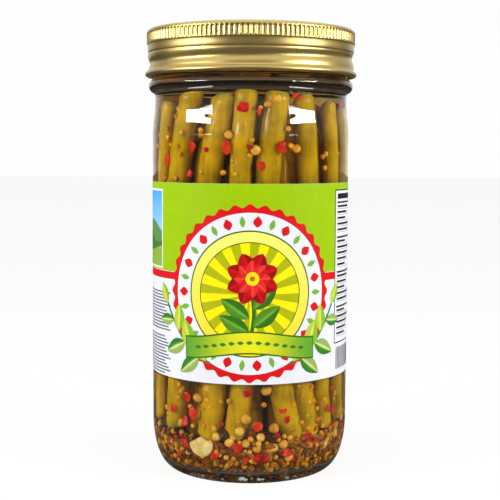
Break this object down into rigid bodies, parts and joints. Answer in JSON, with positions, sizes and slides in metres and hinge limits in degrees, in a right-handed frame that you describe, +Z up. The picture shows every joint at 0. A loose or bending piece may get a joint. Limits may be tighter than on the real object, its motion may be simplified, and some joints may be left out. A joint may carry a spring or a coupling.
{
  "type": "filled pickle jar",
  "caption": "Tall clear glass jar of pickled green beans in brine, with a gold metal screw cap and a paper wrap label.",
  "frame": {"origin": "centre of the jar's round base, on the plane that the jar stands on", "axes": "+Z up along the jar's axis from the base to the cap; the middle of the label faces -Y"},
  "size_m": [0.0876, 0.0876, 0.1822],
  "materials": {
    "jar_glass": "clear moulded glass, glossy",
    "cap_metal": "satin gold lacquer on tinplate",
    "label_paper": "semi-gloss coated paper with printed colour fields",
    "contents": "olive-green beans, seeds and red pepper flakes in amber brine"
  },
  "bodies": {
    "root": {"glass_jar": "jar_glass", "lid": "cap_metal", "label": "label_paper", "brine": "contents"}
  },
  "joints": []
}
